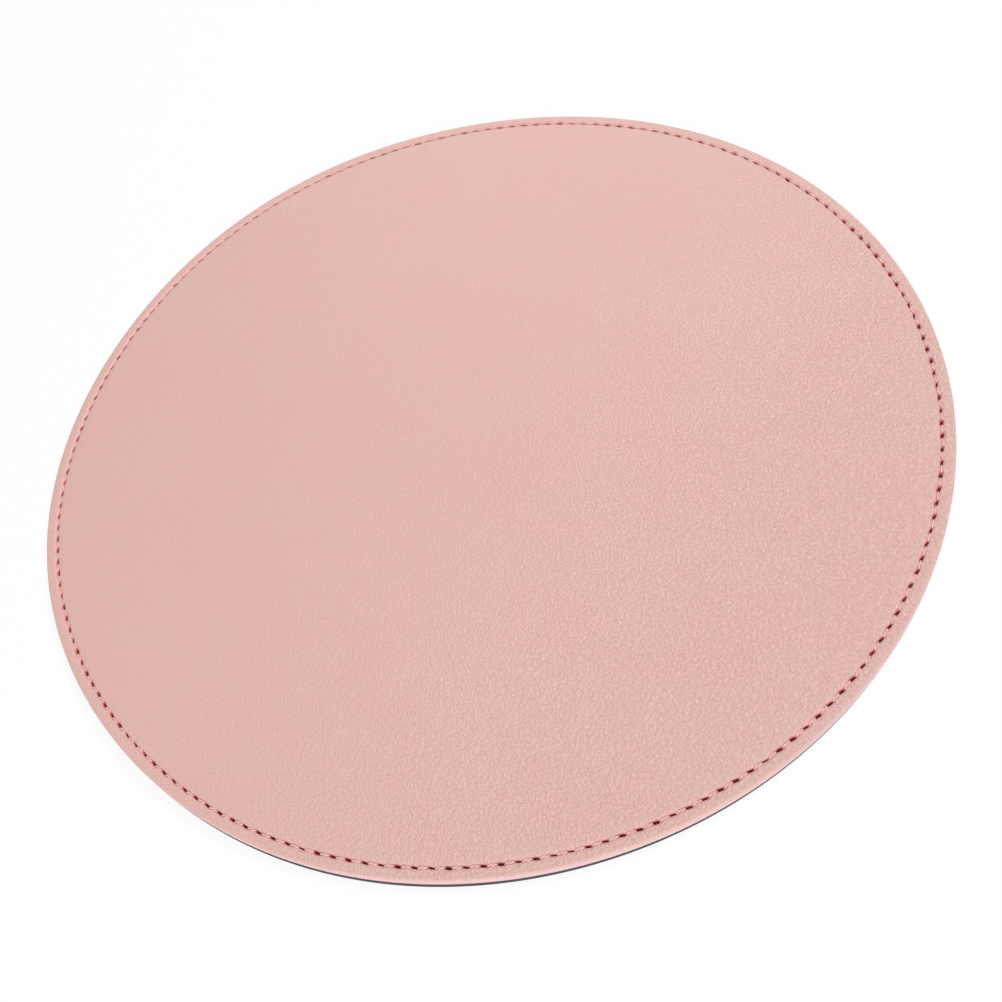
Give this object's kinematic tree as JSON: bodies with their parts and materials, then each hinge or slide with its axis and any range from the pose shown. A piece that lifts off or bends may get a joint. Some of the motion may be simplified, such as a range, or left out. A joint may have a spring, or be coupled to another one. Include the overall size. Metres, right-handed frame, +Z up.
{
  "type": "mouse pad",
  "caption": "Round flat mouse pad of pink grained leather, sewn near its rim to a dark non-slip rubber base by a row of lockstitch.",
  "frame": {"origin": "centre of the flat underside, on the desk", "axes": "+Z up through the pad, from the rubber base to the leather; X and Y lie in the underside"},
  "size_m": [0.22, 0.22, 0.0032],
  "materials": {
    "pink_leather": "fine pebble grain, soft satin sheen",
    "clear_glue": "thin dried film",
    "dark_rubber": "matt, fine cut edge",
    "pink_thread": "twisted polyester sewing thread"
  },
  "bodies": {
    "root": {"leather_cover": "pink_leather", "glue_film": "clear_glue", "rubber_base": "dark_rubber", "needle_thread": "pink_thread", "bobbin_thread": "pink_thread"}
  },
  "joints": []
}
